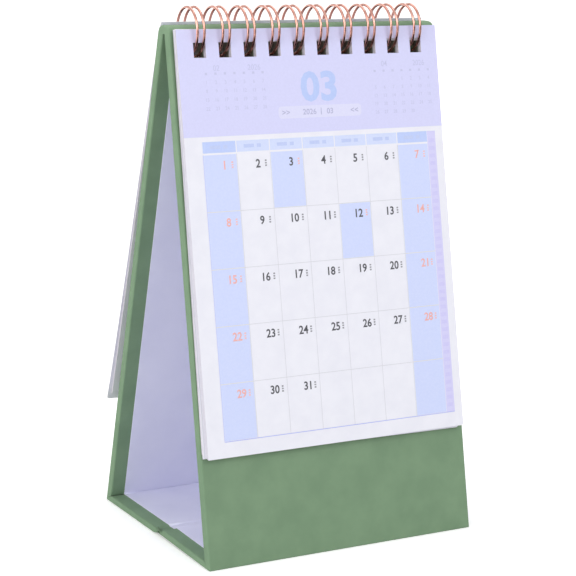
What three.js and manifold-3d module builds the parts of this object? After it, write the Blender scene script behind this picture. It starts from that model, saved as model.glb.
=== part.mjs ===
// A standing desk calendar: a wrapped greyboard A-frame stand that carries month leaves on a twin-loop wire.
// Millimetres, +Z up. X runs across the page, the front page faces -Y, and the origin is on the surface
// that the stand rests on, under the middle of the whole object.
import * as THREE from "three";
import { mergeVertices } from "three/addons/utils/BufferGeometryUtils.js";
import Module from "manifold-3d";

// Stand
const standWidth = 94;
const standDepth = 74;
const standHeight = 157.4;
const apexWidth = 6.8;
const panelBoard = 2.3;
const baseBoard = 1.4;
const baseCreaseLift = 0.8;
const baseCreaseGap = 3;
const innerCreaseGap = 5.2;
const innerCreaseForward = 2.6;
const creaseDip = 0.7;
const innerApexInset = 1.2;
const wrapPaper = 0.3;
const linerPaper = 0.25;
const glueLine = 0.05;
const turnInWidth = 9;
const linerInset = 4.8;
const linerTopMargin = 1.6;
const boardEndClearance = 0.3;

// Leaves
const leafSideMargin = 0.75;
const leafWidth = standWidth - 2 * leafSideMargin;
const leafLength = 127.5;
const frontPadThickness = 0.7;
const followingPadThickness = 0.7;
const turnedPadThickness = 0.5;
const lastLeafThickness = 0.25;
const leafGap = 0.3;
const followingPadDrop = 0.2;
const followingPadShift = -0.6;
const turnedRaise = 1;
const turnedSwing = 2.6;
const lastLeafSwing = 0.3;

// Punched holes and wire
const loopCount = 10;
const loopPitch = 8.47;
const holeWidth = 4.1;
const holeHeight = 4.6;
const holeFromTop = 6.2;
const wireDiameter = 0.9;
const wireSides = 6;
const ringHalfDepth = 6.8;
const ringHalfHeight = 7.4;
const ringDrop = 0.9;
const ringForward = 0.5;
const loopLegSpacing = 2.3;
const legSteps = 18;
const bendSteps = 4;
const bendFlatness = 0.45;
const seamAngle = 28;

const degrees = Math.PI / 180;
const wasm = await Module();
wasm.setup();

// Solid modelling on three.js geometry
const solidOf = (geometry) => {
  geometry.deleteAttribute("normal");
  geometry.deleteAttribute("uv");
  const merged = mergeVertices(geometry, 1e-4);
  return new wasm.Manifold(
    new wasm.Mesh({
      numProp: 3,
      vertProperties: new Float32Array(merged.attributes.position.array),
      triVerts: new Uint32Array(merged.index.array),
    }),
  );
};

const geometryOf = (solid) => {
  const mesh = solid.getMesh();
  const geometry = new THREE.BufferGeometry();
  geometry.setAttribute("position", new THREE.BufferAttribute(Float32Array.from(mesh.vertProperties), 3));
  geometry.setIndex(new THREE.BufferAttribute(Uint32Array.from(mesh.triVerts), 1));
  return geometry;
};

// A section drawn in the side view, [y, z] points, carried along X between two x values.
const acrossX = (points, fromX, toX) => {
  const section = new THREE.Shape(points.map(([y, z]) => new THREE.Vector2(y, z)));
  const geometry = new THREE.ExtrudeGeometry(section, { depth: toX - fromX, bevelEnabled: false });
  geometry.applyMatrix4(new THREE.Matrix4().set(0, 0, 1, fromX, 1, 0, 0, 0, 0, 1, 0, 0, 0, 0, 0, 1));
  return solidOf(geometry);
};

// Where two lines meet, each given by a point and a direction.
const meeting = (p, d, q, e) => {
  const t = ((q[0] - p[0]) * e[1] - (q[1] - p[1]) * e[0]) / (d[0] * e[1] - d[1] * e[0]);
  return [p[0] + d[0] * t, p[1] + d[1] * t];
};

// Side view of the stand: the outer corners, then the same outline moved inwards.
const halfDepth = standDepth / 2;
const halfApex = apexWidth / 2;
const lean = Math.atan((halfDepth - halfApex) / standHeight);
const slantLength = standHeight / Math.cos(lean);
const panelDepth = 2 * wrapPaper + 2 * glueLine + panelBoard;
const baseDepth = 2 * wrapPaper + 2 * glueLine + baseBoard;

// A point on a panel: along its slope from the floor, and in from its outer face. Side is -1 front, 1 back.
const onPanel = (side, along, inwards) => [
  side * (halfDepth - along * Math.sin(lean) - inwards * Math.cos(lean)),
  along * Math.cos(lean) - inwards * Math.sin(lean),
];

// The closed outline at a depth inside the panels, above the base and below the apex. The crease of the base runs
// between a front and a rear y, and dips there if asked.
const outerCrease = [-baseCreaseGap / 2, baseCreaseGap / 2];
const innerCrease = [-innerCreaseForward - innerCreaseGap / 2, innerCreaseGap / 2 - innerCreaseForward];
const outline = (panelInset, baseInset, apexInset, dip, [creaseFront, creaseRear]) => {
  const up = (side) => [-side * Math.sin(lean), Math.cos(lean)];
  const rearFloor = [0, baseInset];
  const liftSlope = Math.atan(baseCreaseLift / halfDepth);
  const frontFloor = [-halfDepth, baseInset];
  const frontFloorRun = [Math.cos(liftSlope), Math.sin(liftSlope)];
  const top = [0, standHeight - apexInset];
  const level = [1, 0];
  const frontCrease = meeting(frontFloor, frontFloorRun, [creaseFront, 0], [0, 1]);
  const points = [meeting(frontFloor, frontFloorRun, onPanel(-1, 0, panelInset), up(-1)), frontCrease];
  if (dip > 0) {
    points.push([creaseFront + dip / 2, frontCrease[1] - dip]);
    points.push([creaseRear - dip / 2, baseInset - dip + baseCreaseLift / 2]);
  }
  points.push([creaseRear, baseInset]);
  points.push(meeting(rearFloor, level, onPanel(1, 0, panelInset), up(1)));
  points.push(meeting(top, level, onPanel(1, 0, panelInset), up(1)));
  points.push(meeting(top, level, onPanel(-1, 0, panelInset), up(-1)));
  return points;
};

const wrapOutside = outline(0, 0, 0, 0, outerCrease);
const wrapInside = outline(wrapPaper, wrapPaper, wrapPaper, 0, outerCrease);
const turnInOutside = outline(
  panelDepth - wrapPaper,
  baseDepth - wrapPaper,
  innerApexInset,
  creaseDip,
  innerCrease,
);
const turnInInside = outline(panelDepth, baseDepth, innerApexInset + wrapPaper, creaseDip, innerCrease);

// The frame of a sheet that stands in the slope: its top edge, the way down it and the way out of it.
const sheetFrame = (side, top, standOff, swing) => {
  const tilt = lean + swing * degrees;
  const head = onPanel(side, top, -standOff);
  return (down, out) => [
    head[0] + side * (Math.sin(tilt) * down + Math.cos(tilt) * out),
    head[1] - Math.cos(tilt) * down + Math.sin(tilt) * out,
  ];
};

// A slab of a sheet frame, between two depths and two heights, in the turning sense that an outline needs.
const slab = (side, frame, fromDown, toDown, fromOut, toOut) => {
  const corners = [frame(fromDown, fromOut), frame(toDown, fromOut), frame(toDown, toOut), frame(fromDown, toOut)];
  return side < 0 ? corners.reverse() : corners;
};

// The row of square holes that is punched straight through one sheet.
const loopX = (index) => (index - (loopCount - 1) / 2) * loopPitch;
const punchRow = (side, frame, fromOut, toOut) => {
  const section = slab(side, frame, holeFromTop - holeHeight / 2, holeFromTop + holeHeight / 2, fromOut, toOut);
  let row = null;
  for (let i = 0; i < loopCount; i += 1) {
    const hole = acrossX(section, loopX(i) - holeWidth / 2, loopX(i) + holeWidth / 2);
    row = row ? row.add(hole) : hole;
  }
  return row;
};
const panelPunch = (side) => punchRow(side, sheetFrame(side, slantLength, 0, 0), -panelDepth - linerPaper, 1);
const frontPunch = panelPunch(-1);
const backPunch = panelPunch(1);

// One sheet of paper: outer skin, wrapped side edges and turned-in margins inside.
const coverWrap = () => {
  const half = standWidth / 2;
  const tube = acrossX(wrapOutside, -half, half).subtract(acrossX(turnInInside, -half - 1, half + 1));
  const boardSpace = acrossX(wrapInside, wrapPaper - half, half - wrapPaper).subtract(
    acrossX(turnInOutside, -half, half),
  );
  const openInside = acrossX(wrapInside, turnInWidth - half, half - turnInWidth);
  return tube.subtract(boardSpace).subtract(openInside).subtract(frontPunch).subtract(backPunch);
};

// A board inside the wrap, clear of the paper by the glue line.
const boardHalfWidth = standWidth / 2 - wrapPaper - glueLine;
const panelBoardSolid = (side, punch) => {
  const outer = wrapPaper + glueLine;
  const inner = outer + panelBoard;
  const foot = (inner * Math.sin(lean) + wrapPaper + boardEndClearance) / Math.cos(lean);
  const head = slantLength - wrapPaper - boardEndClearance;
  const corners = [
    onPanel(side, foot, outer),
    onPanel(side, head, outer),
    onPanel(side, head, inner),
    onPanel(side, foot, inner),
  ];
  const section = side < 0 ? corners.reverse() : corners;
  return acrossX(section, -boardHalfWidth, boardHalfWidth).subtract(punch);
};

const baseBoardSolid = (side) => {
  const low = wrapPaper + glueLine;
  const high = low + baseBoard;
  const lift = side < 0 ? baseCreaseLift : 0;
  const edge = side < 0 ? innerCrease[0] : outerCrease[1];
  const liftAt = (y) => lift * (1 - Math.abs(y) / halfDepth);
  const panelFace = wrapPaper + 2 * glueLine + panelBoard + boardEndClearance;
  const faceAt = (z) => side * (halfDepth - z * Math.tan(lean) - panelFace / Math.cos(lean));
  const corners = [
    [edge, low + liftAt(edge)],
    [faceAt(low), low + liftAt(faceAt(low))],
    [faceAt(high), high + liftAt(faceAt(high))],
    [edge, high + liftAt(edge)],
  ];
  const section = side < 0 ? corners.reverse() : corners;
  return acrossX(section, -boardHalfWidth, boardHalfWidth);
};

// The liner lies on the turned-in margins, from under the front holes over the base to under the back ones.
const linerSheet = () => {
  const head = holeFromTop + holeHeight / 2 + linerTopMargin;
  const rest = glueLine;
  const face = glueLine + linerPaper;
  const under = outline(panelDepth + rest, baseDepth + rest, head, creaseDip, innerCrease);
  const over = outline(panelDepth + face, baseDepth + face, head - linerTopMargin, creaseDip, innerCrease);
  const half = standWidth / 2 - linerInset;
  return acrossX(under, -half, half).subtract(acrossX(over, -standWidth, standWidth));
};

// A pad of leaves that hangs outside a panel, from the same row of holes.
const leafPad = (side, standOff, thickness, raise, swing, shift) => {
  const frame = sheetFrame(side, slantLength + raise, standOff, swing);
  const outlineOfPad = slab(side, frame, 0, leafLength, 0, thickness);
  const pad = acrossX(outlineOfPad, shift - leafWidth / 2, shift + leafWidth / 2);
  return pad.subtract(punchRow(side, frame, -1, thickness + 1));
};

// The wire's middle line: each loop is a hairpin of two legs round the ring, and short bends join the loops
// at the seam, which is turned down between the panels.
const wirePoint = (x, turn) =>
  new THREE.Vector3(
    x,
    ringHalfDepth * Math.sin(turn) - ringForward,
    standHeight - ringDrop - ringHalfHeight * Math.cos(turn),
  );

const wirePath = () => {
  const points = [];
  const start = (seamAngle / 2) * degrees;
  const sweep = (360 - seamAngle) * degrees;
  const legHalf = loopLegSpacing / 2;
  const linkHalf = (loopPitch - loopLegSpacing) / 2;
  const bulge = (bendFlatness * legHalf) / ringHalfDepth;
  const addLeg = (x, from, to) => {
    for (let k = 0; k <= legSteps; k += 1) {
      points.push(wirePoint(x, from + ((to - from) * k) / legSteps));
    }
  };
  const addBend = (x, half, turn, out) => {
    for (let k = 1; k < bendSteps; k += 1) {
      const round = (Math.PI * k) / bendSteps;
      points.push(wirePoint(x - half * Math.cos(round), turn + out * Math.sin(round)));
    }
  };
  for (let i = 0; i < loopCount; i += 1) {
    const x = loopX(i);
    addLeg(x - legHalf, start, start + sweep);
    addBend(x, legHalf, start + sweep, bulge);
    addLeg(x + legHalf, start + sweep, start);
    if (i < loopCount - 1) {
      addBend(x + loopPitch / 2, linkHalf, start, -bulge);
    }
  }
  return points;
};

const wireBinding = () => {
  const points = wirePath();
  const section = new THREE.Shape();
  for (let k = 0; k < wireSides; k += 1) {
    const round = (2 * Math.PI * k) / wireSides;
    const at = [(wireDiameter / 2) * Math.cos(round), (wireDiameter / 2) * Math.sin(round)];
    if (k === 0) section.moveTo(...at);
    else section.lineTo(...at);
  }
  section.closePath();
  const line = new THREE.CatmullRomCurve3(points, false, "centripetal");
  line.arcLengthDivisions = points.length * 8;
  return solidOf(new THREE.ExtrudeGeometry(section, { steps: points.length, extrudePath: line, bevelEnabled: false }));
};

const group = new THREE.Group();
const paint = {
  wrap: { color: "#7f9a7d", roughness: 0.7, metalness: 0 },
  liner: { color: "#dcdcf4", roughness: 0.75, metalness: 0 },
  greyboard: { color: "#a39b8f", roughness: 0.9, metalness: 0 },
  leaf: { color: "#efeff9", roughness: 0.6, metalness: 0 },
  wire: { color: "#c88c78", roughness: 0.25, metalness: 1 },
};
const addPiece = (name, solid, finish) => {
  const mesh = new THREE.Mesh(geometryOf(solid), new THREE.MeshStandardMaterial(paint[finish]));
  mesh.name = name;
  group.add(mesh);
};
addPiece("cover_wrap", coverWrap(), "wrap");
addPiece("front_board", panelBoardSolid(-1, frontPunch), "greyboard");
addPiece("back_board", panelBoardSolid(1, backPunch), "greyboard");
addPiece("base_front_board", baseBoardSolid(-1), "greyboard");
addPiece("base_rear_board", baseBoardSolid(1), "greyboard");
addPiece("liner", linerSheet(), "liner");

const frontPadOff = 2 * leafGap + followingPadThickness;
const lastLeafOff = 2 * leafGap + turnedPadThickness;
const followingPad = leafPad(-1, leafGap, followingPadThickness, -followingPadDrop, 0, followingPadShift);
const frontPad = leafPad(-1, frontPadOff, frontPadThickness, 0, 0, 0);
const turnedPad = leafPad(1, leafGap, turnedPadThickness, turnedRaise, turnedSwing, 0);
const lastLeaf = leafPad(1, lastLeafOff, lastLeafThickness, turnedRaise, turnedSwing + lastLeafSwing, 0);
addPiece("following_leaf_pad", followingPad, "leaf");
addPiece("front_leaf_pad", frontPad, "leaf");
addPiece("turned_leaf_pad", turnedPad, "leaf");
addPiece("last_leaf", lastLeaf, "leaf");
addPiece("wire_binding", wireBinding(), "wire");

export default group;
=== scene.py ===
"""Dresses the standing desk calendar: cover, liner, printed leaves and twin-loop wire, on a pale sweep."""

import math

import bpy
import numpy as np
from mathutils import Matrix, Vector

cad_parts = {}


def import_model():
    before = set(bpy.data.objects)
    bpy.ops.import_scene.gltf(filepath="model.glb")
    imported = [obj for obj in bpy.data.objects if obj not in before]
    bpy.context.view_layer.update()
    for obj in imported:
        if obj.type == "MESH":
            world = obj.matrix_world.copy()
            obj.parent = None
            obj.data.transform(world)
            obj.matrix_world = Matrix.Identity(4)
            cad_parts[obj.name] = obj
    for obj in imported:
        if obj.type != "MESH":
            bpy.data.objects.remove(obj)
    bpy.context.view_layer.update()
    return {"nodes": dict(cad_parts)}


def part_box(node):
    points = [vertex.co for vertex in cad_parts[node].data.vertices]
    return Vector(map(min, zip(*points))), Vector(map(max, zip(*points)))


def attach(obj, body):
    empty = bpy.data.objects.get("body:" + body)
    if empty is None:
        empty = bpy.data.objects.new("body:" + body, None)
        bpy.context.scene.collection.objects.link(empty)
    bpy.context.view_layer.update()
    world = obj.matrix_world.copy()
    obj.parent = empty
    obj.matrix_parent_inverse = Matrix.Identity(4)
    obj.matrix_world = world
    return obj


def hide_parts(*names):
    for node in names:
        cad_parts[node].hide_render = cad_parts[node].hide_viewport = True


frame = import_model()

MM = 0.001

# The stand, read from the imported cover, and the sizes that a box can't tell (all in millimetres)
HALF_WIDTH, HALF_DEPTH, STAND_HEIGHT = (float(size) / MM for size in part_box("cover_wrap")[1])
APEX_WIDTH = 6.8
PANEL_DEPTH = 3.0
BASE_DEPTH = 2.1
WRAP_PAPER = 0.3
TURN_IN = 9.0
TURN_IN_LINE = 4.0
EDGE_ROUND = 0.5
INNER_APEX_DROP = 1.5
GLUE_LINE = 0.05
LINER_PAPER = 0.25
LINER_HALF_WIDTH = float(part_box("liner")[1].x) / MM
LINER_DROP = 10.1
LEAN = math.atan((HALF_DEPTH - APEX_WIDTH / 2) / STAND_HEIGHT)
SLANT = STAND_HEIGHT / math.cos(LEAN)

# The crease of the base: from and to which y it runs outside and inside, and how it lifts and dips
OUTER_CREASE = (-1.5, 1.5)
INNER_CREASE = (-5.2, 0.0)
CREASE_LIFT = 0.8
CREASE_DIP = 0.7
CREASE_FLANK = 0.2

# The covering paper arches over the apex, and is pressed down a little at its ends there
ARCH = 1.2
ARCH_FOOT = 0.6
SOFT_END = 0.9
SOFT_DROP = 0.35
SOFT_REACH = 2.5

# Holes and wire
LOOP_COUNT = 10
LOOP_PITCH = 8.47
HOLE_WIDTH = 4.1
HOLE_HEIGHT = 4.6
HOLE_FROM_TOP = 6.2
HOLE_TOP = HOLE_FROM_TOP - HOLE_HEIGHT / 2
HOLE_FOOT = HOLE_FROM_TOP + HOLE_HEIGHT / 2
WIRE_RADIUS = 0.41
RING_HALF_DEPTH = 6.8
RING_HALF_HEIGHT = 7.4
RING_DROP = 0.9
RING_FORWARD = 0.5
LEG_SPACING = 2.3
SEAM_ANGLE = 28.0
BEND_FLATNESS = 0.45

# Leaves
LEAF_WIDTH = float(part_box("front_leaf_pad")[1].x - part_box("front_leaf_pad")[0].x) / MM
LEAF_LENGTH = 127.5
LEAF_PAPER = 0.16
LEAF_CORNER = 0.8
LEAF_TRIM = (0.7, 0.25)
LEAF_GAP = 0.3
PAD_THICKNESS = 0.7
TURNED_THICKNESS = 0.5
TURNED_SWING = 2.6
LAST_SWING = 2.9
FRONT_OFF = 2 * LEAF_GAP + PAD_THICKNESS
LAST_OFF = 2 * LEAF_GAP + TURNED_THICKNESS
INK = 0.012


def hole_edges():
    """The x of every hole edge along the row, from left to right."""
    centres = (np.arange(LOOP_COUNT) - (LOOP_COUNT - 1) / 2) * LOOP_PITCH
    return np.sort(np.concatenate([centres - HOLE_WIDTH / 2, centres + HOLE_WIDTH / 2]))


def in_hole_row(x):
    """True where an x lies inside a punched hole."""
    nearest = np.round(x / LOOP_PITCH + (LOOP_COUNT - 1) / 2)
    nearest = np.clip(nearest, 0, LOOP_COUNT - 1)
    return np.abs(x - (nearest - (LOOP_COUNT - 1) / 2) * LOOP_PITCH) < HOLE_WIDTH / 2


def linear(code):
    """An sRGB hex colour as linear red, green and blue, and a full alpha."""
    parts = [int(code[i : i + 2], 16) / 255 for i in (1, 3, 5)]
    return [p / 12.92 if p <= 0.04045 else ((p + 0.055) / 1.055) ** 2.4 for p in parts] + [1.0]


# Mesh making
def make_piece(name, points, faces, material, smooth=False):
    """A mesh piece from points in millimetres and its faces, with its place in its mesh.

    Smooth is one truth value for the whole piece, or one for each face.
    """
    if isinstance(faces, np.ndarray):
        faces = faces.tolist()
    mesh = bpy.data.meshes.new(name)
    mesh.from_pydata((points * MM).tolist(), [], faces)
    mesh.update()
    mesh.polygons.foreach_set("use_smooth", np.full(len(faces), smooth))
    mesh.materials.append(material)
    piece = bpy.data.objects.new(name, mesh)
    bpy.context.scene.collection.objects.link(piece)
    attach(piece, "root")
    return piece


NARROW = 0.4


def narrow(points, faces):
    """True for a face with a side shorter than NARROW: the faces of the rounds, which are smooth."""
    corners = points[faces]
    return np.linalg.norm(corners - np.roll(corners, 1, axis=1), axis=2).min(1) < NARROW


def grid_faces(rows, columns, wrap_rows=False, wrap_columns=False, flip=False):
    """Quads of a grid of points, row by row, closed round either way if asked."""
    r = np.arange(rows if wrap_rows else rows - 1)
    c = np.arange(columns if wrap_columns else columns - 1)
    r, c = (a.ravel() for a in np.meshgrid(r, c, indexing="ij"))
    r2, c2 = (r + 1) % rows, (c + 1) % columns
    quads = np.stack([r * columns + c, r * columns + c2, r2 * columns + c2, r2 * columns + c], 1)
    return quads[:, ::-1] if flip else quads


def joined(parts):
    """Several lots of points and faces as one."""
    points, faces, count = [], [], 0
    for p, f in parts:
        points.append(p)
        faces.append(f + count)
        count += len(p)
    return np.concatenate(points), np.concatenate(faces)


def solidify(piece, thickness):
    """Gives a sheet its wall, in millimetres, behind its face."""
    wall = piece.modifiers.new("wall", "SOLIDIFY")
    wall.thickness = thickness * MM
    wall.offset = -1.0
    wall.use_even_offset = True
    return wall


# Side view of the stand
def on_panel(side, along, inwards):
    """A [y, z] point of a panel: along its slope from the floor and in from its outer face."""
    y = side * (HALF_DEPTH - along * math.sin(LEAN) - inwards * math.cos(LEAN))
    z = along * math.cos(LEAN) - inwards * math.sin(LEAN)
    return np.stack(np.broadcast_arrays(y, z), -1)


def stand_outline(panel_inset, base_inset, apex_drop, dip, crease):
    """The eight corners of the stand's side view, moved in from its outer face, as [y, z] points.

    They run from the front foot over the crease of the base to the rear foot, then over the apex.
    """
    top = STAND_HEIGHT - apex_drop
    rise = CREASE_LIFT / HALF_DEPTH

    def foot(side, slope):
        """Where a panel meets the base, which rises with a slope. Its height settles in a few steps."""
        height = base_inset
        for _ in range(4):
            run = HALF_DEPTH - height * math.tan(LEAN) - panel_inset / math.cos(LEAN)
            height = base_inset + slope * (HALF_DEPTH - run)
        return [side * run, height]

    def head(side):
        return [side * (HALF_DEPTH - top * math.tan(LEAN) - panel_inset / math.cos(LEAN)), top]

    front, rear = crease
    lifted = base_inset + rise * (HALF_DEPTH + front)
    flank = dip / 2 + CREASE_FLANK
    return np.array([
        foot(-1, rise),
        [front, lifted],
        [front + flank, lifted - dip],
        [rear - flank, base_inset - dip + CREASE_LIFT / 2 * (dip > 0)],
        [rear, base_inset],
        foot(1, 0.0),
        head(1),
        head(-1),
    ])


# Where the lines across each run of the side view lie, as shares of its way to the next corner
PANEL_CUTS = np.unique(np.concatenate([
    np.linspace(0.03, 0.985, 42),
    [(SLANT - HOLE_FOOT) / SLANT, (SLANT - HOLE_TOP) / SLANT],
]))
BASE_CUTS = np.linspace(0.04, 0.96, 14)
APEX_CUTS = np.linspace(0.1, 0.9, 17)
RUN_CUTS = [BASE_CUTS, [0.5], [0.35, 0.65], [0.5], BASE_CUTS, PANEL_CUTS, APEX_CUTS, 1 - PANEL_CUTS[::-1]]

# The round of each corner of the side view, from the front foot on
FRONT_FOOT, REAR_FOOT = 0, 5
OUTER_ROUNDS = (0.6, 0.08, 0.08, 0.08, 0.08, 0.6, 0.5, 0.5)
INNER_ROUNDS = (0.2, 0.3, 0.1, 0.1, 0.3, 0.2, 0.05, 0.05)
LINER_ROUNDS = (0.4, 0.3, 0.2, 0.2, 0.3, 0.4, 0.001, 0.001)
ROUND_POINTS = 7

# The fold's groove over a corner's points, as a share of the way to the outer corner. In the liner it is
# that share of LINER_GROOVE, in millimetres along each axis.
GROOVE = np.array([0.0, 0.1, 0.4, 0.42, 0.4, 0.1, 0.0])
LINER_GROOVE = 0.6


def corner_rows(corner):
    """The rows of a loop that a corner's round takes."""
    start = sum(ROUND_POINTS + len(cuts) for cuts in RUN_CUTS[:corner])
    return slice(start, start + ROUND_POINTS)


def carried_round(corners, rounds):
    """A closed side-view loop through its corners: straight runs, and corners as short parabolic rounds."""
    loop = []
    for i, here in enumerate(corners):
        after, before = corners[(i + 1) % len(corners)], corners[i - 1]
        into = (here - before) / np.linalg.norm(here - before)
        out = (after - here) / np.linalg.norm(after - here)
        a = np.linspace(0, 1, ROUND_POINTS)[:, None]
        start, end = here - into * rounds[i], here + out * rounds[i]
        loop.append((1 - a) ** 2 * start + 2 * a * (1 - a) * here + a ** 2 * end)
        loop.append(here + np.asarray(RUN_CUTS[i])[:, None] * (after - here))
    return np.concatenate(loop)


FACE_LINES = 24
END_LINES = (1.4, 1.1, 0.8)


def cover_piece(material):
    """The wrap: a C-shaped profile across the width, carried round the closed side view of the stand.

    The profile runs from the inner edge of the left turn-in, over the rounded left edge, along the outer
    face with a line at every hole edge, and over the right edge to the right turn-in. Its depth is a share
    of the panel's, from 0 on the outer loop to 1 on the inner loop. The arch over the apex is 1 less the
    fourth power of the way out from its middle.
    """
    outer = carried_round(stand_outline(0, 0, 0, 0, OUTER_CREASE), OUTER_ROUNDS)
    inner = stand_outline(PANEL_DEPTH, BASE_DEPTH, INNER_APEX_DROP, CREASE_DIP, INNER_CREASE)
    inner = carried_round(inner, INNER_ROUNDS)
    for corner in (FRONT_FOOT, REAR_FOOT):
        rows = corner_rows(corner)
        tip = rows.start + ROUND_POINTS // 2
        inner[rows] += GROOVE[:, None] * (outer[tip] - inner[tip])
    over_apex = outer[:, 1] > STAND_HEIGHT - ARCH_FOOT
    outer[over_apex, 1] += ARCH * np.clip(1 - (outer[over_apex, 0] * 2 / APEX_WIDTH) ** 4, 0, 1)
    turn = np.linspace(0, math.pi / 2, 5)
    side_x = HALF_WIDTH - EDGE_ROUND + EDGE_ROUND * np.sin(turn)
    side_d = (EDGE_ROUND / PANEL_DEPTH) * (1 - np.cos(turn))
    out_x = np.concatenate([[HALF_WIDTH - TURN_IN, HALF_WIDTH - TURN_IN_LINE], side_x, side_x[::-1][:-1]])
    out_d = np.concatenate([[1, 1], 1 - side_d, side_d[::-1][:-1]])
    face_half = HALF_WIDTH - EDGE_ROUND
    end_lines = HALF_WIDTH - np.array(END_LINES)
    face_lines = np.linspace(-face_half, face_half, FACE_LINES)
    face_x = np.unique(np.concatenate([hole_edges(), face_lines, -end_lines, end_lines]))
    across = np.concatenate([-out_x, face_x, out_x[::-1]])
    depth = np.concatenate([out_d, 0 * face_x, out_d[::-1]])
    loop = outer[:, None] + (inner - outer)[:, None] * depth[None, :, None]
    points = np.empty((len(outer), len(across), 3))
    points[..., 0] = across
    points[..., 1:] = loop
    near_end = np.clip((np.abs(across) - HALF_WIDTH + SOFT_END) / SOFT_END, 0, 1) ** 2
    near_top = np.clip(1 + (loop[..., 1] - STAND_HEIGHT) / SOFT_REACH, 0, 1) ** 2
    points[..., 2] -= SOFT_DROP * near_end * near_top
    points = points.reshape(-1, 3)
    faces = grid_faces(len(outer), len(across), wrap_rows=True, flip=True)
    middle = points[faces].mean(1)
    in_row = np.abs(middle[:, 2] / math.cos(LEAN) - (SLANT - HOLE_FROM_TOP)) < HOLE_HEIGHT / 2
    faces = faces[~(in_row & in_hole_row(middle[:, 0]))]
    piece = make_piece("cover_sheet", points, faces, material, narrow(points, faces))
    solidify(piece, WRAP_PAPER)
    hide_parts("cover_wrap")
    return piece


LINER_LINES = 16


def liner_piece(material):
    """The liner: an open strip of the inner side view, carried straight across between its cut edges."""
    lift = GLUE_LINE + LINER_PAPER
    inner = stand_outline(PANEL_DEPTH + lift, BASE_DEPTH + lift, LINER_DROP, CREASE_DIP, INNER_CREASE)
    inner = carried_round(inner, LINER_ROUNDS)
    inner[corner_rows(REAR_FOOT)] += LINER_GROOVE * GROOVE[:, None] * np.array([1.0, -1.0])
    top = inner[:, 1].max() - 1e-6
    start = int(np.argmax((inner[:, 1] >= top) & (inner[:, 0] < 0)))
    turned = np.roll(inner, -start, axis=0)
    strip = turned[: int(np.argmax((turned[:, 1] >= top) & (turned[:, 0] > 0))) + 1]
    across = np.linspace(-LINER_HALF_WIDTH, LINER_HALF_WIDTH, LINER_LINES)
    points = np.empty((len(strip), len(across), 3))
    points[..., 0] = across
    points[..., 1:] = strip[:, None]
    points = points.reshape(-1, 3)
    faces = grid_faces(len(strip), len(across))
    piece = make_piece("liner_sheet", points, faces, material, narrow(points, faces))
    solidify(piece, LINER_PAPER)
    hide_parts("liner")
    return piece


# Leaves
class Sheet:
    """A leaf's place: u across from its left edge, v down from its top edge, w out of its face.

    Its head is raised up the panel's slope and stands off its face, in millimetres. The leaf leans as the
    panel does and swings out further, by swing in degrees. It is shifted across, and turned in its own plane
    by turn in degrees. Its face bows out by curl times the square of the way down, and its lower left corner
    by wave times the fourth power of the way there.
    """

    def __init__(self, side, raised, stand_off, swing=0.0, shift=0.0, curl=0.0, wave=0.0, turn=0.0):
        self.side, self.shift, self.curl, self.wave = side, shift, curl, wave
        self.tilt = LEAN + math.radians(swing)
        self.slip = math.radians(turn)
        self.head = on_panel(side, SLANT + raised, -stand_off)

    def at(self, u, v, w):
        """Points in the object's frame."""
        u, v, w = np.broadcast_arrays(u, v, w)
        down = v / LEAF_LENGTH
        across = u / LEAF_WIDTH - 0.5
        out = w + (self.curl * down ** 2 + self.wave * (down * np.clip(0.5 - across, 0, 1)) ** 4)
        middle = u - LEAF_WIDTH / 2
        x = self.shift + middle + self.slip * v
        y = self.head[0] + self.side * (math.sin(self.tilt) * v + math.cos(self.tilt) * out)
        z = self.head[1] - math.cos(self.tilt) * v + math.sin(self.tilt) * out + self.slip * middle
        return np.stack([x, y, z], -1)


LEAF_COLUMNS = 16
LEAF_ROWS = 26
LEAF_CORNER_ROWS = 6
CORNER_LINE = 0.4


def leaf_points(sheet, out, length):
    """A leaf's face as a grid with a line at every hole edge.

    Its lower corners are quarter circles: a row's outer columns move in as far as the circle does there. On
    the front side its side edges are trimmed too, by as much more the nearer a column is to the edge.
    """
    u = np.unique(np.round(np.concatenate([
        hole_edges() + LEAF_WIDTH / 2 - sheet.shift,
        np.linspace(LEAF_CORNER, LEAF_WIDTH - LEAF_CORNER, LEAF_COLUMNS),
        [0, LEAF_CORNER * CORNER_LINE, LEAF_WIDTH - LEAF_CORNER * CORNER_LINE, LEAF_WIDTH],
    ]), 4))
    low = LEAF_CORNER * (1 - np.sin(np.linspace(0, math.pi / 2, LEAF_CORNER_ROWS)))
    v = np.unique(np.round(np.concatenate([
        [HOLE_TOP, HOLE_FOOT],
        np.linspace(0, length - LEAF_CORNER, LEAF_ROWS),
        length - low,
    ]), 4))
    over = np.clip((v - (length - LEAF_CORNER)) / LEAF_CORNER, 0, 1)
    reach = np.sqrt(np.clip(1 - over ** 2, 0.0004, 1))[:, None]
    inner = LEAF_WIDTH / 2 - LEAF_CORNER
    centred = u - LEAF_WIDTH / 2
    outside = np.clip(np.abs(centred) - inner, 0, None)
    across = np.sign(centred) * (np.minimum(np.abs(centred), inner) + outside * reach)
    left, right = LEAF_TRIM if sheet.side < 0 else (0.0, 0.0)
    across = np.where(across < -inner, across + left * (-inner - across) / LEAF_CORNER, across)
    across = np.where(across > inner, across - right * (across - inner) / LEAF_CORNER, across)
    points = sheet.at(across + LEAF_WIDTH / 2, v[:, None], out)
    faces = grid_faces(len(v), len(u), flip=sheet.side < 0)
    middle_u = (u[:-1] + u[1:]) / 2 - LEAF_WIDTH / 2 + sheet.shift
    middle_v = (v[:-1] + v[1:]) / 2
    in_row = np.abs(middle_v - HOLE_FROM_TOP) < HOLE_HEIGHT / 2
    keep = ~(in_row[:, None] & in_hole_row(middle_u)).ravel()
    return points.reshape(-1, 3), faces[keep]


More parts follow.
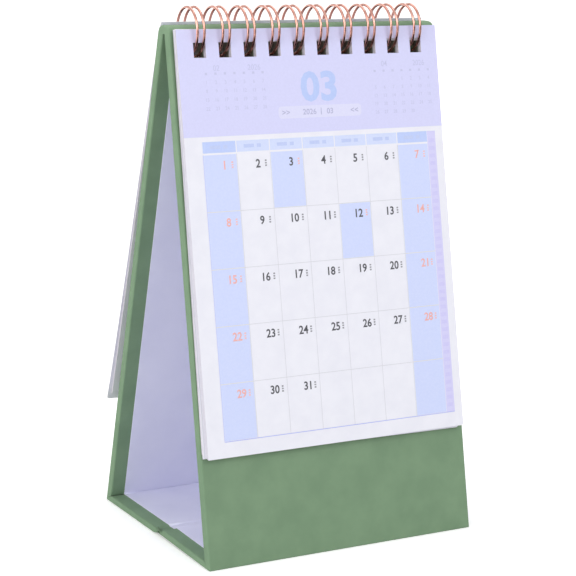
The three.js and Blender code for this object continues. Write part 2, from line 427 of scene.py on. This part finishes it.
def leaf_stack(name, node_name, leaves, material, edge_material):
    """The loose leaves of a pad in one piece. Each leaf is (sheet, how far out its face lies, length)."""
    points, faces = joined([leaf_points(*leaf) for leaf in leaves])
    piece = make_piece(name, points, faces, material)
    piece.data.materials.append(edge_material)
    # The rims take the edge material, whose darker colour is painted shade between the stacked leaves.
    solidify(piece, LEAF_PAPER).material_offset_rim = 1
    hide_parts(node_name)
    return piece


# Print
def field_points(sheet, u0, v0, u1, v1, w, cells):
    """A flat field of ink as a small grid that follows the leaf."""
    u, v = np.meshgrid(np.linspace(u0, u1, cells), np.linspace(v0, v1, cells), indexing="xy")
    return sheet.at(u, v, w).reshape(-1, 3), grid_faces(cells, cells, flip=sheet.side < 0)


def ink_piece(name, sheet, fields, w, material, cells=6):
    """Fields of one ink, printed on a leaf. Each field is (left, top, right, bottom) in page millimetres."""
    points, faces = joined([field_points(sheet, *field, w, cells) for field in fields])
    piece = make_piece(name, points, faces, material)
    solidify(piece, INK)
    return piece


PILL_ROWS, PILL_COLUMNS = 18, 25
PILL_ROUND = 0.6


def pill_piece(name, sheet, field, w, material):
    """A bar with rounded corners: a row's half width is the straight half plus the corner circle's chord."""
    u0, v0, u1, v1 = field
    half_tall = (v1 - v0) / 2
    corner = PILL_ROUND * half_tall
    turn = np.linspace(-math.pi / 2, math.pi / 2, PILL_ROWS)[:, None]
    side = np.linspace(-1, 1, PILL_COLUMNS)[None, :]
    v = (v0 + v1) / 2 + np.sign(turn) * (half_tall - corner) + corner * np.sin(turn)
    u = (u0 + u1) / 2 + side * ((u1 - u0) / 2 - corner + corner * np.cos(turn))
    faces = grid_faces(PILL_ROWS, PILL_COLUMNS, flip=sheet.side < 0)
    piece = make_piece(name, sheet.at(u, v, w).reshape(-1, 3), faces, material)
    solidify(piece, INK)
    return piece


GLYPHS = {}


def glyphs(text, weight):
    """The mesh of a line of plain numerals, 1 high, 1 thick and centred, as points and faces."""
    key = (text, weight)
    if key not in GLYPHS:
        curve = bpy.data.curves.new("numerals", "FONT")
        curve.body = text
        curve.offset = weight
        curve.extrude = 0.5
        curve.resolution_u = 3
        obj = bpy.data.objects.new("numerals", curve)
        bpy.context.scene.collection.objects.link(obj)
        mesh = bpy.data.meshes.new_from_object(obj.evaluated_get(bpy.context.evaluated_depsgraph_get()))
        co = np.zeros(len(mesh.vertices) * 3)
        mesh.vertices.foreach_get("co", co)
        co = co.reshape(-1, 3)
        tall = co[:, 1].max() - co[:, 1].min()
        co[:, :2] = (co[:, :2] - (co[:, :2].max(0) + co[:, :2].min(0)) / 2) / tall
        _, first, merged = np.unique(np.round(co, 4), axis=0, return_index=True, return_inverse=True)
        GLYPHS[key] = co[first], [merged.ravel()[list(p.vertices)].tolist() for p in mesh.polygons]
        bpy.data.objects.remove(obj)
        bpy.data.curves.remove(curve)
        bpy.data.meshes.remove(mesh)
    return GLYPHS[key]


def numerals_piece(name, sheet, entries, w, material, weight, condense=0.92):
    """Printed numbers. Each entry is (text, middle u, middle v, height), and condense narrows the type."""
    points, faces, count = [], [], 0
    for text, u, v, height in entries:
        co, polygons = glyphs(text, weight)
        out = w + INK * co[:, 2]
        points.append(sheet.at(u + co[:, 0] * height * condense, v - co[:, 1] * height, out))
        faces.extend([[i + count for i in p] for p in polygons])
        count += len(co)
    piece = make_piece(name, np.concatenate(points), faces, material)
    return piece


# Wire
LEG_POINTS, BEND_POINTS, WIRE_SIDES = 73, 11, 14


def ring_point(x, turn):
    """A point of the wire's middle line: round an upright ellipse over the apex, from its lowest point."""
    y = RING_HALF_DEPTH * np.sin(turn) - RING_FORWARD
    z = STAND_HEIGHT - RING_DROP - RING_HALF_HEIGHT * np.cos(turn)
    return np.stack(np.broadcast_arrays(x, y, z), -1)


def wire_line():
    """The wire's middle line: hairpins of two legs, joined at the seam by short bends between the panels."""
    start = math.radians(SEAM_ANGLE / 2)
    sweep = math.radians(360 - SEAM_ANGLE)
    half = LEG_SPACING / 2
    link = (LOOP_PITCH - LEG_SPACING) / 2
    bulge = BEND_FLATNESS * half / RING_HALF_DEPTH
    leg = start + sweep * np.linspace(0, 1, LEG_POINTS)
    bend = np.pi * np.linspace(0, 1, BEND_POINTS)[1:-1]
    runs = []
    for i in range(LOOP_COUNT):
        x = (i - (LOOP_COUNT - 1) / 2) * LOOP_PITCH
        runs.append(ring_point(x - half, leg))
        runs.append(ring_point(x - half * np.cos(bend), start + sweep + bulge * np.sin(bend)))
        runs.append(ring_point(x + half, leg[::-1]))
        if i < LOOP_COUNT - 1:
            runs.append(ring_point(x + LOOP_PITCH / 2 - link * np.cos(bend), start - bulge * np.sin(bend)))
    return np.concatenate(runs)


def wire_piece(material):
    """A round section carried along the middle line, held upright by the way out from the ring's axis."""
    line = wire_line()
    run = np.gradient(line, axis=0)
    run /= np.linalg.norm(run, axis=1)[:, None]
    away = line - np.array([0, -RING_FORWARD, STAND_HEIGHT - RING_DROP])
    away[:, 0] = 0
    away -= (away * run).sum(1)[:, None] * run
    away /= np.linalg.norm(away, axis=1)[:, None]
    beside = np.cross(run, away)
    turn = 2 * np.pi * np.arange(WIRE_SIDES) / WIRE_SIDES
    section = np.cos(turn)[None, :, None] * away[:, None] + np.sin(turn)[None, :, None] * beside[:, None]
    rings = line[:, None] + WIRE_RADIUS * section
    points = np.concatenate([rings.reshape(-1, 3), line[:1], line[-1:]])
    faces = grid_faces(len(line), WIRE_SIDES, wrap_columns=True).tolist()
    last = (len(line) - 1) * WIRE_SIDES
    tip = len(points) - 2
    for k in range(WIRE_SIDES):
        faces.append([tip, (k + 1) % WIRE_SIDES, k])
        faces.append([tip + 1, last + k, last + (k + 1) % WIRE_SIDES])
    piece = make_piece("twin_loop_wire", points, faces, material, True)
    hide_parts("wire_binding")
    return piece


# Materials
def node(tree, kind, settings=None, **links):
    """Adds one node, sets its values and joins its inputs to other nodes' outputs."""
    made = tree.nodes.new(kind)
    for key, value in (settings or {}).items():
        if key in made.inputs:
            made.inputs[key].default_value = value
        else:
            setattr(made, key, value)
    for key, source in links.items():
        tree.links.new(source, made.inputs[key.replace("_", " ")])
    return made


def surface(name, colour, roughness, metallic=0.0):
    """A material with its node tree, its shader and Object coordinates in metres."""
    material = bpy.data.materials.new(name)
    material.use_nodes = True
    tree = material.node_tree
    shader = tree.nodes["Principled BSDF"]
    shader.inputs["Base Color"].default_value = linear(colour)
    shader.inputs["Roughness"].default_value = roughness
    shader.inputs["Metallic"].default_value = metallic
    place = node(tree, "ShaderNodeTexCoord").outputs["Object"]
    return material, tree, shader, place


def noise(tree, place, size_mm, detail=4.0, roughness=0.55, stretch=(1, 1, 1)):
    """Noise whose blotches are about one size across, in millimetres."""
    scaled = node(tree, "ShaderNodeMapping", {"Scale": stretch}, Vector=place).outputs["Vector"]
    settings = {"Scale": 1000 / size_mm, "Detail": detail, "Roughness": roughness}
    return node(tree, "ShaderNodeTexNoise", settings, Vector=scaled).outputs["Fac"]


TINT_SPAN = (0.35, 0.65)


def tinted(tree, shader, factor, low, high):
    """Colour that goes from one tone to the other while a factor crosses TINT_SPAN."""
    ramp = node(tree, "ShaderNodeValToRGB", Fac=factor)
    for element, position, colour in zip(ramp.color_ramp.elements, TINT_SPAN, (low, high)):
        element.position = position
        element.color = linear(colour)
    tree.links.new(ramp.outputs["Color"], shader.inputs["Base Color"])


def bumped(tree, shader, height, strength, distance_mm):
    """Relief from a height, as deep as a distance in millimetres."""
    bump = node(tree, "ShaderNodeBump", {"Strength": strength, "Distance": distance_mm * MM}, Height=height)
    tree.links.new(bump.outputs["Normal"], shader.inputs["Normal"])


def covering_paper():
    """Sage green uncoated covering paper: matt, with short fibres that catch the light as a fine grain."""
    material, tree, shader, place = surface("sage covering paper", "#7E9A7C", 0.78)
    # Fibres are about 0.1 mm thick and 0.6 mm long on real paper, drawn a little coarser to show.
    fibres = noise(tree, place, 0.5, 5, 0.65, (1.0, 1.0, 0.35))
    tinted(tree, shader, noise(tree, place, 9, 3), "#779375", "#7E9A7B")
    bumped(tree, shader, fibres, 0.35, 0.05)
    shader.inputs["Specular IOR Level"].default_value = 0.35
    return material


def lining_paper():
    """Smooth lavender lining paper, nearly white, pasted down flat."""
    material, tree, shader, place = surface("lavender lining paper", "#D9D9F2", 0.7)
    tinted(tree, shader, noise(tree, place, 14, 3), "#E4E4FA", "#E9E9FD")
    bumped(tree, shader, noise(tree, place, 0.6, 4), 0.2, 0.03)
    return material


def leaf_paper():
    """White offset paper with a hint of blue, smooth, with the faint tooth of an uncoated sheet."""
    material, tree, shader, place = surface("white offset paper", "#F2F2FA", 0.55)
    tinted(tree, shader, noise(tree, place, 5, 4), "#ECECF6", "#F0F0F9")
    bumped(tree, shader, noise(tree, place, 0.35, 4), 0.15, 0.02)
    return material


def leaf_edge():
    """The guillotined edges of the leaves: a pinkish white, a little darker than the faces as painted shade
    between the stacked leaves.
    """
    material, tree, shader, place = surface("cut paper edge with painted shade", "#E6DEE6", 0.8)
    tinted(tree, shader, noise(tree, place, 1.2, 4), "#DCD3DD", "#ECE4EA")
    bumped(tree, shader, noise(tree, place, 0.3, 4), 0.3, 0.03)
    return material


def board_grey():
    """Pressed grey binder's board, made of waste paper: mottled fibres, quite rough."""
    material, tree, shader, place = surface("grey binder's board", "#9A9287", 0.9)
    tinted(tree, shader, noise(tree, place, 0.8, 5, 0.7), "#857D73", "#AAA296")
    bumped(tree, shader, noise(tree, place, 0.4, 5, 0.7), 0.5, 0.08)
    return material


def ink(name, low, high):
    """Offset ink on paper: a thin even colour that keeps a trace of the sheet's tooth."""
    material, tree, shader, place = surface(name, low, 0.5)
    tinted(tree, shader, noise(tree, place, 0.7, 4), low, high)
    bumped(tree, shader, noise(tree, place, 0.35, 4), 0.1, 0.02)
    return material


def copper_plate():
    """Bright copper plating on drawn steel wire: glossy and pink-orange, with faint draw lines."""
    material, tree, shader, place = surface("copper plated wire", "#D6A093", 0.16, 1.0)
    tinted(tree, shader, noise(tree, place, 2.5, 3), "#CF9688", "#DCAA9C")
    bumped(tree, shader, noise(tree, place, 0.25, 3, 0.5, (0.2, 1, 1)), 0.12, 0.01)
    return material


# The stand
sage = covering_paper()
lavender = lining_paper()
white = leaf_paper()
shaded_cut_edge = leaf_edge()
greyboard = board_grey()
for name in ("front_board", "back_board", "base_front_board", "base_rear_board"):
    frame["nodes"][name].data.materials.clear()
    frame["nodes"][name].data.materials.append(greyboard)
cover_piece(sage)
liner_piece(lavender)
wire_piece(copper_plate())

# The leaves, each as its sheet, how far out its face lies, and its length. Each hangs a little by itself.
front_leaves = [
    (Sheet(-1, -0.15, FRONT_OFF, shift=-0.3, turn=-0.1), 0.16, LEAF_LENGTH - 0.5),
    (Sheet(-1, -0.1, FRONT_OFF, shift=-0.1, curl=0.05, turn=-0.05), 0.4, LEAF_LENGTH - 0.2),
    (Sheet(-1, -0.1, FRONT_OFF, curl=0.1), 0.66, LEAF_LENGTH),
]
following_leaves = [
    (Sheet(-1, -0.3, LEAF_GAP, shift=-0.1, turn=-0.5), 0.16, LEAF_LENGTH - 1.6),
    (Sheet(-1, -0.3, LEAF_GAP, shift=0.3, curl=0.05, turn=-0.68), 0.4, LEAF_LENGTH - 0.1),
    (Sheet(-1, -0.25, LEAF_GAP, shift=-0.3, curl=0.08, turn=-0.3), 0.64, LEAF_LENGTH - 1.2),
]
turned_leaves = [
    (Sheet(1, 1.8, LEAF_GAP, TURNED_SWING, shift=0.3), 0.2, LEAF_LENGTH),
    (Sheet(1, 1.7, LEAF_GAP, TURNED_SWING, shift=0.3, curl=0.15), 0.46, LEAF_LENGTH),
]
last_leaves = [
    (Sheet(1, 0.1, LAST_OFF, LAST_SWING, shift=0.3, curl=0.3, wave=1.3), 0.2, LEAF_LENGTH + 1.4),
]
leaf_stack("front_leaves", "front_leaf_pad", front_leaves, white, shaded_cut_edge)
leaf_stack("following_leaves", "following_leaf_pad", following_leaves, white, shaded_cut_edge)
leaf_stack("turned_leaves", "turned_leaf_pad", turned_leaves, white, shaded_cut_edge)
leaf_stack("last_turned_leaf", "last_leaf", last_leaves, white, shaded_cut_edge)

# The print of the month in front, in millimetres from the page's upper left corner
PAGE, PAGE_FACE = front_leaves[-1][:2]
BAND_FOOT = 31.9
COLUMN_LEFT, COLUMN_STEP, CELL_WIDTH = 6.65, 11.42, 11.06
ROW_TOP, ROW_STEP, ROWS = 37.2, 17.1, 5
CELL_GAP = 0.15
HEAD_TOP, HEAD_FOOT = 33.4, 36.75
GRID_FOOT = ROW_TOP + ROWS * ROW_STEP
STRIP_LEFT, STRIP_RIGHT = 86.35, 89.4
WEEKEND, WORKDAYS = (0, 6), range(1, 6)
MARKED_DAYS = (3, 12)

# How far out the inks lie: the fields, the lines, what is printed over them, and the year over its pill
FIELD_INK, LINE_INK, TYPE_INK, OVER_INK = (PAGE_FACE + layers * INK for layers in (1, 1.5, 1.6, 2.8))


def column(i):
    """The left edge of a weekday's column."""
    return COLUMN_LEFT + COLUMN_STEP * i


def row(j):
    """The top edge of a week's row."""
    return ROW_TOP + ROW_STEP * j


def place_of(day):
    """The column and the row of a day, in a month that starts in the first column."""
    return (day - 1) % 7, (day - 1) // 7


def cell(i, j):
    """The coloured field of a day, which ends a little short of its row's edges."""
    return column(i), row(j) + CELL_GAP, column(i) + CELL_WIDTH, row(j + 1) - CELL_GAP


def heads(columns):
    """The fields over some of the weekday columns."""
    return [(column(i), HEAD_TOP, column(i) + CELL_WIDTH, HEAD_FOOT) for i in columns]


def header_band():
    """The lavender head of the page, with its strip cut round the punched holes."""
    edges = hole_edges() + LEAF_WIDTH / 2 - PAGE.shift
    left, right = LEAF_TRIM[0], LEAF_WIDTH - LEAF_TRIM[1]
    lefts = np.concatenate([[left], edges[1::2]])
    rights = np.concatenate([edges[::2], [right]])
    between = [(a, HOLE_TOP, b, HOLE_FOOT) for a, b in zip(lefts, rights)]
    return [(left, 0, right, HOLE_TOP), (left, HOLE_FOOT, right, BAND_FOOT)] + between


ink_piece("print_header", PAGE, header_band(), FIELD_INK, ink("lavender ink", "#D6D6F9", "#D9D9FC"))

# A turned leaf has its print towards the stand, and its upper edge shows over the apex
TURNED, TURNED_FACE = turned_leaves[0][:2]
SIDE_INSET, TOP_INSET = 0.3, 0.1
turned_edge = [(SIDE_INSET, TOP_INSET, LEAF_WIDTH - SIDE_INSET, HOLE_TOP - TOP_INSET)]
# The same lavender print as the front header, painted lighter here: painted light on a strip that faces down
# into shade.
brightened_header_ink = ink("lavender ink painted lighter", "#EAE8FC", "#ECEAFD")
ink_piece("print_turned_header", TURNED, turned_edge, TURNED_FACE - LEAF_PAPER, brightened_header_ink)

# The coloured fields: weekends and two marked days, and the heads of the columns
coloured = [cell(i, j) for i in WEEKEND for j in range(ROWS)]
coloured += [cell(*place_of(day)) for day in MARKED_DAYS]
ink_piece("print_weekends", PAGE, coloured, FIELD_INK, ink("pale blue ink", "#D0DAFE", "#D4DDFF"))
light_blue = ink("light blue ink", "#D3DDFC", "#D7E0FD")
ink_piece("print_day_heads", PAGE, heads(WORKDAYS), FIELD_INK, light_blue, 3)
sky_blue = ink("sky blue ink", "#BFCFFB", "#C4D3FC")
ink_piece("print_weekend_heads", PAGE, heads(WEEKEND), FIELD_INK, sky_blue, 3)

# The lines: where each lies from the edge of its column or row
UPRIGHT_LINE, LEVEL_LINE, FOOT_LINE = (-0.27, -0.12), (-0.08, 0.08), (-0.06, 0.16)
SIDE_LINE = 0.1
grid_right = column(6) + CELL_WIDTH
lines = [(column(i) + UPRIGHT_LINE[0], ROW_TOP, column(i) + UPRIGHT_LINE[1], GRID_FOOT) for i in range(1, 7)]
lines += [(column(0), row(j) + LEVEL_LINE[0], grid_right, row(j) + LEVEL_LINE[1]) for j in range(1, ROWS)]
ink_piece("print_lines", PAGE, lines, LINE_INK, ink("pale grey ink", "#D3D3DC", "#D8D8E0"), 4)
edge_lines = [
    (column(0), GRID_FOOT + FOOT_LINE[0], STRIP_RIGHT, GRID_FOOT + FOOT_LINE[1]),
    (column(0) - SIDE_LINE, ROW_TOP, column(0), GRID_FOOT),
]
violet_blue = ink("violet blue ink", "#AFB4F2", "#B6BAF5")
ink_piece("print_foot_line", PAGE, edge_lines, LINE_INK, violet_blue, 4)

# The strip of small tabs at the right
TAB_STEP, TAB_TALL, TAB_INSET, TAB_COUNT = 2.4, 1.2, 0.5, 36
strip = [(STRIP_LEFT, HEAD_TOP, STRIP_RIGHT, GRID_FOOT)]
ink_piece("print_tab_strip", PAGE, strip, FIELD_INK, ink("pale violet ink", "#D6D3FA", "#D9D6FB"))
tab_tops = [HEAD_TOP + TAB_STEP * i for i in range(1, TAB_COUNT + 1)]
tabs = [(STRIP_LEFT + TAB_INSET, top, STRIP_RIGHT - TAB_INSET, top + TAB_TALL) for top in tab_tops]
ink_piece("print_tabs", PAGE, tabs, TYPE_INK, ink("violet ink", "#D0CCF8", "#D4D0F9"), 2)

# The dates, each with three short bars beside it
DATE_ACROSS, DATE_DOWN, DATE_TALL = 6.9, 3.3, 2.6
NOTE_LEFT, NOTE_RIGHT, NOTE_TOP, NOTE_FOOT = 2.35, 2.95, -1.0, -0.55
NOTE_STEP, NOTE_COUNT = 0.75, 3
dates = {True: [], False: []}
notes = {True: [], False: []}
for day in range(1, 32):
    i, j = place_of(day)
    free = i in WEEKEND
    u, v = column(i) + DATE_ACROSS, row(j) + DATE_DOWN
    dates[free].append((str(day), u, v, DATE_TALL))
    for k in range(NOTE_COUNT):
        down = v + NOTE_STEP * k
        note = (u + NOTE_LEFT, down + NOTE_TOP, u + NOTE_RIGHT, down + NOTE_FOOT)
        notes[free or day in MARKED_DAYS].append(note)
grey_ink = ink("dark grey ink", "#4E4E55", "#595960")
coral_ink = ink("coral ink", "#F0B0AA", "#F3B7B1")
numerals_piece("print_dates", PAGE, dates[False], TYPE_INK, grey_ink, 0.02)
numerals_piece("print_weekend_dates", PAGE, dates[True], TYPE_INK, coral_ink, 0.02)
ink_piece("print_date_notes", PAGE, notes[False], TYPE_INK, ink("mid grey ink", "#8F8F96", "#98989F"), 2)
light_coral = ink("light coral ink", "#F4BDB9", "#F5C3BF")
ink_piece("print_weekend_notes", PAGE, notes[True], TYPE_INK, light_coral, 2)

# The month's number, over a pill with the year and the month between two arrows
MONTH = [("03", 48.0, 18.0, 9.4)]
PILL = (33.3, 23.8, 62.7, 27.5)
PILL_MIDDLE, ARROW_TALL, YEAR_TALL = 25.65, 1.3, 1.75
YEAR_BAR = [(48.15, 24.6, 48.4, 26.7)]
YEAR_LINE = [
    (">>", 35.9, PILL_MIDDLE, ARROW_TALL),
    ("2026", 44.2, PILL_MIDDLE, YEAR_TALL),
    ("03", 51.4, PILL_MIDDLE, YEAR_TALL),
    ("<<", 60.2, PILL_MIDDLE, ARROW_TALL),
]
month_ink = ink("month blue ink", "#B9CAF8", "#BECFFA")
numerals_piece("print_month", PAGE, MONTH, TYPE_INK, month_ink, 0.03, 1.08)
pill_piece("print_pill", PAGE, PILL, TYPE_INK, ink("pill ink", "#DEDEFA", "#E1E1FB"))
faint = ink("faint lilac ink", "#B4B4D6", "#BABADC")
numerals_piece("print_year", PAGE, YEAR_LINE, OVER_INK, faint, 0.01, 1.0)
ink_piece("print_year_bar", PAGE, YEAR_BAR, OVER_INK, faint, 2)

# The months before and after, each as its number, left edge, title line, first row, first column, days,
# column pitch and row pitch
SMALL_MONTHS = [
    ("02", 8.6, 11.6, 15.8, 0, 28, 3.2, 2.6),
    ("04", 67.6, 11.7, 16.5, 3, 30, 3.3, 2.55),
]
SMALL_NUMBER_AT, SMALL_YEAR_AT, SMALL_DATE_AT = 4.6, 17.4, 1.0
SMALL_TITLE_TALL, SMALL_DATE_TALL = 1.75, 1.1
SMALL_MARK_LEFT, SMALL_MARK_RIGHT, SMALL_MARK_TOP, SMALL_MARK_FOOT = 0.6, 1.4, -2.9, -2.2
small, over = [], []
for number, left, title, top, first, days, across, down in SMALL_MONTHS:
    small.append((number, left + SMALL_NUMBER_AT, title, SMALL_TITLE_TALL))
    small.append(("2026", left + SMALL_YEAR_AT, title, SMALL_TITLE_TALL))
    for day in range(1, days + 1):
        i, j = place_of(first + day)
        small.append((str(day), left + SMALL_DATE_AT + across * i, top + down * j, SMALL_DATE_TALL))
    for i in range(7):
        u = left + across * i
        over.append((u + SMALL_MARK_LEFT, top + SMALL_MARK_TOP, u + SMALL_MARK_RIGHT, top + SMALL_MARK_FOOT))
haze = ink("haze blue ink", "#C6C7EA", "#CBCCEE")
numerals_piece("print_small_months", PAGE, small, TYPE_INK, haze, 0.01)
ink_piece("print_small_marks", PAGE, over, TYPE_INK, haze, 2)

# Two short marks in the head of each column
MARK_SPANS = ((2.4, 5.9), (6.9, 8.3))
MARK_INSET = 1.15
marks = [
    (column(i) + start, HEAD_TOP + MARK_INSET, column(i) + end, HEAD_FOOT - MARK_INSET)
    for i in range(7) for start, end in MARK_SPANS
]
ink_piece("print_head_marks", PAGE, marks, TYPE_INK, ink("soft blue ink", "#C0CDF5", "#C5D1F7"), 2)

# The camera stands where the photograph was taken from
FRAME_PIXELS = 576
FOCAL_PIXELS = 1945.4
CAMERA_PLACE = (-302.2, -520.6, 208.3)
CAMERA_TURN, CAMERA_DIP, CAMERA_ROLL = (math.radians(a) for a in (-30.0, 12.49, 1.74))


def camera():
    """A camera turned round the upright, dipped and rolled a little."""
    data = bpy.data.cameras.new("camera")
    data.sensor_width = 36.0
    data.sensor_fit = "HORIZONTAL"
    data.lens = FOCAL_PIXELS / FRAME_PIXELS * data.sensor_width
    data.clip_start = 0.01
    right = Vector((math.cos(CAMERA_TURN), math.sin(CAMERA_TURN), 0))
    ahead = Vector((
        -math.sin(CAMERA_TURN) * math.cos(CAMERA_DIP),
        math.cos(CAMERA_TURN) * math.cos(CAMERA_DIP),
        -math.sin(CAMERA_DIP),
    ))
    up = right.cross(ahead)
    rolled_right = math.cos(CAMERA_ROLL) * right + math.sin(CAMERA_ROLL) * up
    rolled_up = math.cos(CAMERA_ROLL) * up - math.sin(CAMERA_ROLL) * right
    turn = Matrix((rolled_right, rolled_up, -ahead)).transposed().to_4x4()
    obj = bpy.data.objects.new("camera", data)
    obj.matrix_world = Matrix.Translation(Vector(CAMERA_PLACE) * MM) @ turn
    bpy.context.scene.collection.objects.link(obj)
    bpy.context.scene.camera = obj


def seen_directly(tree):
    """1 for what the camera, gloss or glass sees, 0 for the light that falls on the object."""
    path = node(tree, "ShaderNodeLightPath").outputs
    gloss = node(tree, "ShaderNodeMath", {"operation": "MAXIMUM"})
    tree.links.new(path["Is Glossy Ray"], gloss.inputs[0])
    tree.links.new(path["Is Transmission Ray"], gloss.inputs[1])
    both = node(tree, "ShaderNodeMath", {"operation": "MAXIMUM"})
    tree.links.new(path["Is Camera Ray"], both.inputs[0])
    tree.links.new(gloss.outputs[0], both.inputs[1])
    return both.outputs[0]


def floor():
    """A pale sweep. Seen directly or in gloss it glows to white, least near the object: the shadow stays."""
    mesh = bpy.data.meshes.new("floor")
    mesh.from_pydata([(-6, -6, 0), (6, -6, 0), (6, 6, 0), (-6, 6, 0)], [], [(0, 1, 2, 3)])
    material, tree, shader, place = surface("pale floor", "#F7F7F7", 0.9)
    away = node(tree, "ShaderNodeVectorMath", {"operation": "LENGTH"})
    tree.links.new(place, away.inputs[0])
    span = {"From Min": 0.08, "From Max": 0.7, "To Min": 0.33, "To Max": 0.6}
    far = node(tree, "ShaderNodeMapRange", span)
    tree.links.new(away.outputs["Value"], far.inputs["Value"])
    glow = node(tree, "ShaderNodeMath", {"operation": "MULTIPLY"})
    tree.links.new(seen_directly(tree), glow.inputs[0])
    tree.links.new(far.outputs["Result"], glow.inputs[1])
    shader.inputs["Emission Color"].default_value = linear("#FFFFFF")
    tree.links.new(glow.outputs[0], shader.inputs["Emission Strength"])
    mesh.materials.append(material)
    obj = bpy.data.objects.new("floor", mesh)
    bpy.context.scene.collection.objects.link(obj)


def lamp(name, place, target, size, watts):
    """A soft box that faces a point. Places are in metres."""
    data = bpy.data.lights.new(name, "AREA")
    data.size = size
    data.energy = watts
    obj = bpy.data.objects.new(name, data)
    aim = (Vector(target) - Vector(place)).to_track_quat("-Z", "Y")
    obj.matrix_world = Matrix.Translation(place) @ aim.to_matrix().to_4x4()
    bpy.context.scene.collection.objects.link(obj)


def world():
    """An even pale sky for the object, and white for what the camera, gloss and glass see."""
    sky = bpy.data.worlds.new("studio")
    sky.use_nodes = True
    tree = sky.node_tree
    soft = tree.nodes["Background"]
    soft.inputs["Color"].default_value = linear("#FFFFFF")
    soft.inputs["Strength"].default_value = 0.62
    clear = node(tree, "ShaderNodeBackground", {"Color": linear("#FFFFFF"), "Strength": 1.0})
    mix = tree.nodes.new("ShaderNodeMixShader")
    tree.links.new(seen_directly(tree), mix.inputs[0])
    tree.links.new(soft.outputs[0], mix.inputs[1])
    tree.links.new(clear.outputs[0], mix.inputs[2])
    tree.links.new(mix.outputs[0], tree.nodes["World Output"].inputs["Surface"])
    bpy.context.scene.world = sky


def flag(name, place, facing, size):
    """A dark card beside the set that only gloss sees: it puts the dark bands into the bright wire."""
    wide, tall = size
    mesh = bpy.data.meshes.new(name)
    corners = [(-wide, -tall, 0), (wide, -tall, 0), (wide, tall, 0), (-wide, tall, 0)]
    mesh.from_pydata(corners, [], [(0, 1, 2, 3)])
    mesh.materials.append(surface("black velvet", "#0A0A0A", 1.0)[0])
    obj = bpy.data.objects.new(name, mesh)
    turn = Vector(facing).to_track_quat("Z", "X")
    obj.matrix_world = Matrix.Translation(place) @ turn.to_matrix().to_4x4()
    obj.visible_camera = False
    obj.visible_diffuse = False
    obj.visible_shadow = False
    bpy.context.scene.collection.objects.link(obj)


camera()
floor()
world()
flag("table flag", (0, -0.55, 0.002), (0, 0, 1), (0.4, 0.8))
flag("front flag", (-0.1, -1.3, 0.1), (0, 1, 0), (0.3, 1.0))
flag("overhead flag", (0, 0.5, 1.0), (0, -0.3, -1), (0.45, 0.8))
flag("right flag", (0.9, 0.1, 0.3), (-1, 0, 0), (0.5, 0.5))
lamp("key", (0.35, -1.0, 0.9), (0, 0, 0.08), 0.7, 3.8)
lamp("left fill", (-1.1, -0.25, 0.45), (0, 0, 0.06), 0.8, 5.7)
lamp("top strip", (0, 0.12, 0.45), (0, 0, 0.157), 0.3, 0.6)
bpy.context.scene.view_settings.view_transform = "Standard"
